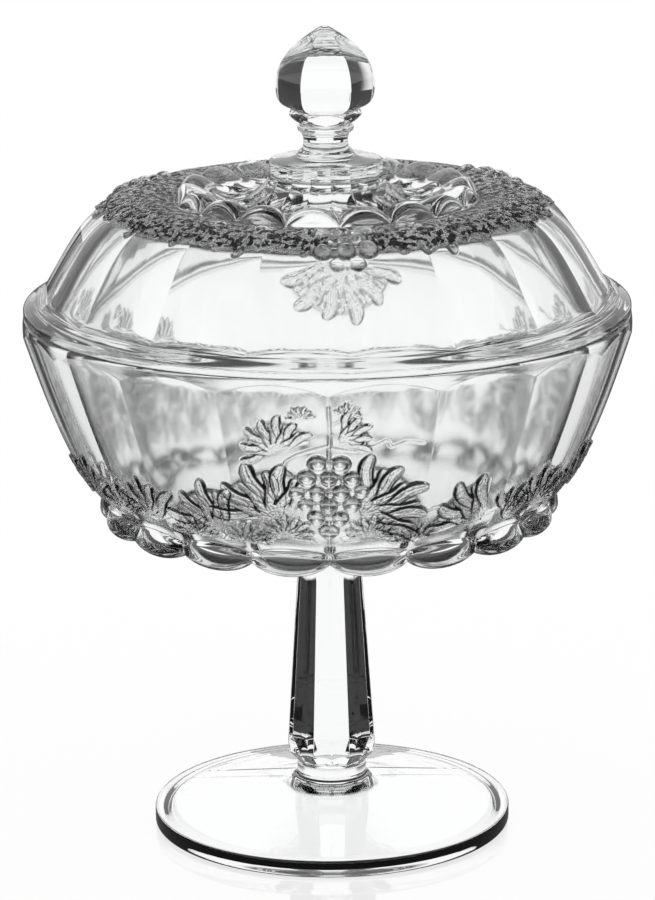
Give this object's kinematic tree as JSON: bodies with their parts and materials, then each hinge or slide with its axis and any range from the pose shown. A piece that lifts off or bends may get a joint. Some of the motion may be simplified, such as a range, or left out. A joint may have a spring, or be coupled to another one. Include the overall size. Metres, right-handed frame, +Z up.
{
  "type": "covered footed bowl",
  "caption": "Clear pressed-glass bowl with flat panels, fruit and leaves in relief and a ring of lobes, on a faceted stem and round foot, under a domed cover with a bud finial.",
  "frame": {"origin": "on the table, in the middle of the ring that the foot stands on", "axes": "+Z up through the stem to the tip of the finial, -Y towards the front seam of the mould"},
  "size_m": [0.2088, 0.2098, 0.2824],
  "materials": {
    "clear_glass": "fire-polished clear pressed glass"
  },
  "bodies": {
    "footed_bowl": {"foot": "clear_glass", "stem": "clear_glass", "bowl": "clear_glass"},
    "lid": {"cover": "clear_glass", "finial": "clear_glass"}
  },
  "joints": [
    {"name": "lid_lift", "type": "slide", "parent": "footed_bowl", "child": "lid", "axis": [0, 0, 1], "range_m": [0, 0.12]}
  ]
}
